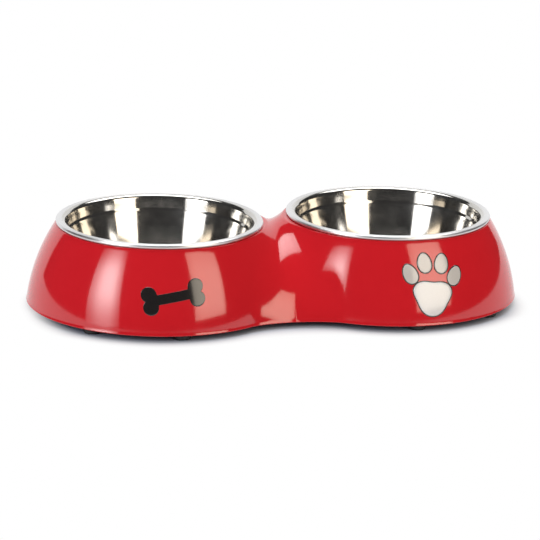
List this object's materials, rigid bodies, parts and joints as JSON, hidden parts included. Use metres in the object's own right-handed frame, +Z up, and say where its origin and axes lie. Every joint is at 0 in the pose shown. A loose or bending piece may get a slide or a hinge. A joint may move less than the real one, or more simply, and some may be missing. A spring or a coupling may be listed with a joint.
{
  "type": "double pet bowl",
  "caption": "Low double feeding stand for a cat or small dog: a glossy moulded base of joined bells that holds lift-out steel bowls, on rubber feet.",
  "frame": {"origin": "midway between the axes of the two bowls, on the plane that the feet stand on", "axes": "+X from the left bowl to the right one as seen from the front, +Z up, the front faces -Y"},
  "size_m": [0.3238, 0.1712, 0.0573],
  "materials": {
    "red_moulding": "glossy",
    "stainless_steel": "polished with fine turned lines",
    "black_rubber": "matte"
  },
  "bodies": {
    "base": {"base_shell": "red_moulding", "foot_left_front": "black_rubber", "foot_left_front_outer": "black_rubber", "foot_left_back": "black_rubber", "foot_left_back_outer": "black_rubber", "foot_right_front": "black_rubber", "foot_right_front_outer": "black_rubber", "foot_right_back": "black_rubber", "foot_right_back_outer": "black_rubber"},
    "left_bowl": {"bowl_left": "stainless_steel"},
    "right_bowl": {"bowl_right": "stainless_steel"}
  },
  "joints": [
    {"name": "left_bowl_lift", "type": "slide", "parent": "base", "child": "left_bowl", "axis": [0, 0, 1], "range_m": [0, 0.06]},
    {"name": "right_bowl_lift", "type": "slide", "parent": "base", "child": "right_bowl", "axis": [0, 0, 1], "range_m": [0, 0.06]}
  ]
}
